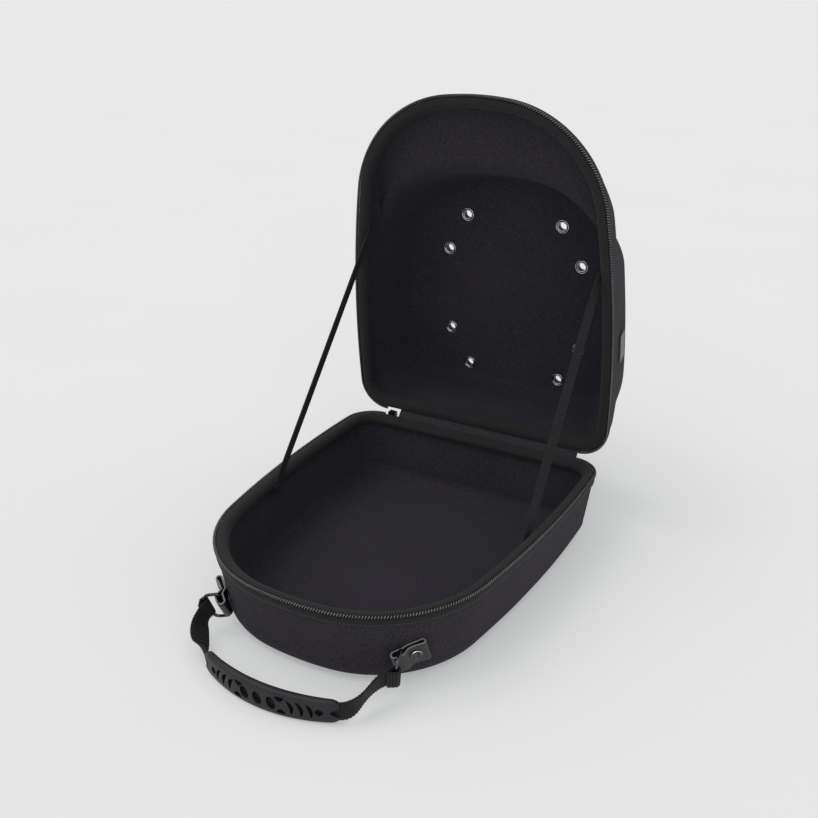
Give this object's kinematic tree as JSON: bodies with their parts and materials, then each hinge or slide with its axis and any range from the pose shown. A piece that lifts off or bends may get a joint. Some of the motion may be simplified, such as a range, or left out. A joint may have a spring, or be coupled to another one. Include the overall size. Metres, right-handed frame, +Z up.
{
  "type": "baseball cap carrier case",
  "caption": "Open hard-shell carrier case for baseball caps, with a domed lid on a cloth hinge, zip rim, webbing stays, eyelets and a moulded carry handle.",
  "frame": {"origin": "on the floor under the middle of the tray's outline", "axes": "+Z up; the round front with its handle is at -Y, the hinge and the open lid at +Y"},
  "size_m": [0.2678, 0.4545, 0.3897],
  "materials": {
    "shell_fabric": "matte",
    "binding": "matte",
    "zip_tape": "matte",
    "zip_coil": "satin",
    "webbing": "matte",
    "leatherette": "satin",
    "black_metal": "satin",
    "eyelet_metal": "polished",
    "grip_rubber": "matte"
  },
  "bodies": {
    "root": {"base_shell": "shell_fabric", "lid_shell": "shell_fabric", "hinge_strip": "shell_fabric", "base_binding": "binding", "lid_binding": "binding", "base_zip_tape": "zip_tape", "lid_zip_tape": "zip_tape", "base_zip_coil": "zip_coil", "lid_zip_coil": "zip_coil", "stay_left": "webbing", "stay_right": "webbing", "stay_foot_left": "webbing", "stay_foot_right": "webbing", "handle_strap": "webbing", "tab_left": "leatherette", "tab_right": "leatherette", "side_patch": "leatherette", "rivet_left": "black_metal", "rivet_right": "black_metal", "d_ring_left": "black_metal", "d_ring_right": "black_metal", "zip_slider": "black_metal", "zip_pull": "black_metal", "eyelet_1": "eyelet_metal", "eyelet_2": "eyelet_metal", "eyelet_3": "eyelet_metal", "eyelet_4": "eyelet_metal", "eyelet_5": "eyelet_metal", "eyelet_6": "eyelet_metal", "eyelet_7": "eyelet_metal", "eyelet_8": "eyelet_metal", "handle_grip": "grip_rubber"}
  },
  "joints": []
}
